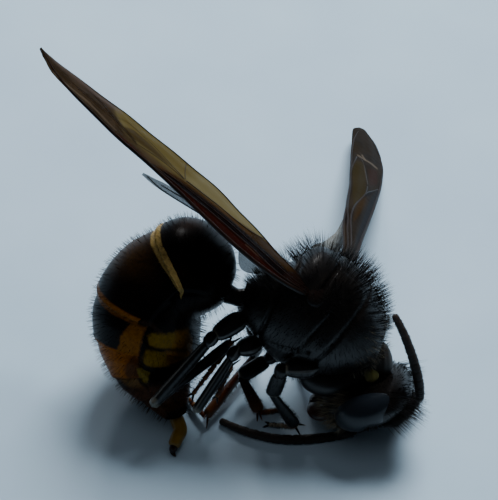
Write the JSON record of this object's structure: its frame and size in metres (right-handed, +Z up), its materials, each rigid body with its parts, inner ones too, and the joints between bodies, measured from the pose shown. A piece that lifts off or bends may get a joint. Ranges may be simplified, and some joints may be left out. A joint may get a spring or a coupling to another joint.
{
  "type": "asian hornet",
  "caption": "Life-size curled hornet lying on its side, with folded wings, banded abdomen, bent legs and feelers; a still display model.",
  "frame": {"origin": "middle of the box round the whole hornet, at the level of the surface it lies on", "axes": "+Z up from the surface; +X towards the head's side of the body; +Y towards the tip of the far wing"},
  "size_m": [0.0212, 0.0259, 0.0185],
  "materials": {
    "black_cuticle": "black-brown chitin, satin",
    "brown_cuticle": "dark brown chitin, satin",
    "orange_cuticle": "orange chitin, satin",
    "yellow_cuticle": "yellow-orange chitin, satin",
    "pale_membrane": "soft pale skin, matt",
    "eye_cuticle": "polished dark eye",
    "wing_membrane": "thin smoky brown wing skin"
  },
  "bodies": {
    "root": {"antenna_left_shaft": "brown_cuticle", "antenna_left_tip": "brown_cuticle", "antenna_left_whip": "brown_cuticle", "antenna_right_shaft": "brown_cuticle", "antenna_right_tip": "brown_cuticle", "antenna_right_whip": "brown_cuticle", "eye_left": "eye_cuticle", "eye_right": "eye_cuticle", "forewing_left": "wing_membrane", "forewing_right": "wing_membrane", "gaster_1": "black_cuticle", "gaster_2": "black_cuticle", "gaster_3": "yellow_cuticle", "gaster_4": "yellow_cuticle", "gaster_5": "black_cuticle", "gaster_6": "black_cuticle", "head": "black_cuticle", "hindwing_left": "wing_membrane", "hindwing_right": "wing_membrane", "leg_fore_left_foot": "orange_cuticle", "leg_fore_left_hip": "black_cuticle", "leg_fore_left_shin": "brown_cuticle", "leg_fore_left_thigh": "black_cuticle", "leg_fore_right_foot": "orange_cuticle", "leg_fore_right_hip": "black_cuticle", "leg_fore_right_shin": "brown_cuticle", "leg_fore_right_thigh": "black_cuticle", "leg_hind_left_foot": "orange_cuticle", "leg_hind_left_hip": "black_cuticle", "leg_hind_left_shin": "brown_cuticle", "leg_hind_left_thigh": "black_cuticle", "leg_hind_right_foot": "orange_cuticle", "leg_hind_right_hip": "black_cuticle", "leg_hind_right_shin": "brown_cuticle", "leg_hind_right_thigh": "black_cuticle", "leg_middle_left_foot": "orange_cuticle", "leg_middle_left_hip": "black_cuticle", "leg_middle_left_shin": "brown_cuticle", "leg_middle_left_thigh": "black_cuticle", "leg_middle_right_foot": "orange_cuticle", "leg_middle_right_hip": "black_cuticle", "leg_middle_right_shin": "brown_cuticle", "leg_middle_right_thigh": "black_cuticle", "mandible_left": "brown_cuticle", "mandible_right": "brown_cuticle", "mesothorax": "black_cuticle", "neck": "pale_membrane", "pronotum": "black_cuticle", "propodeum": "black_cuticle", "sting": "orange_cuticle", "waist": "black_cuticle"}
  },
  "joints": []
}
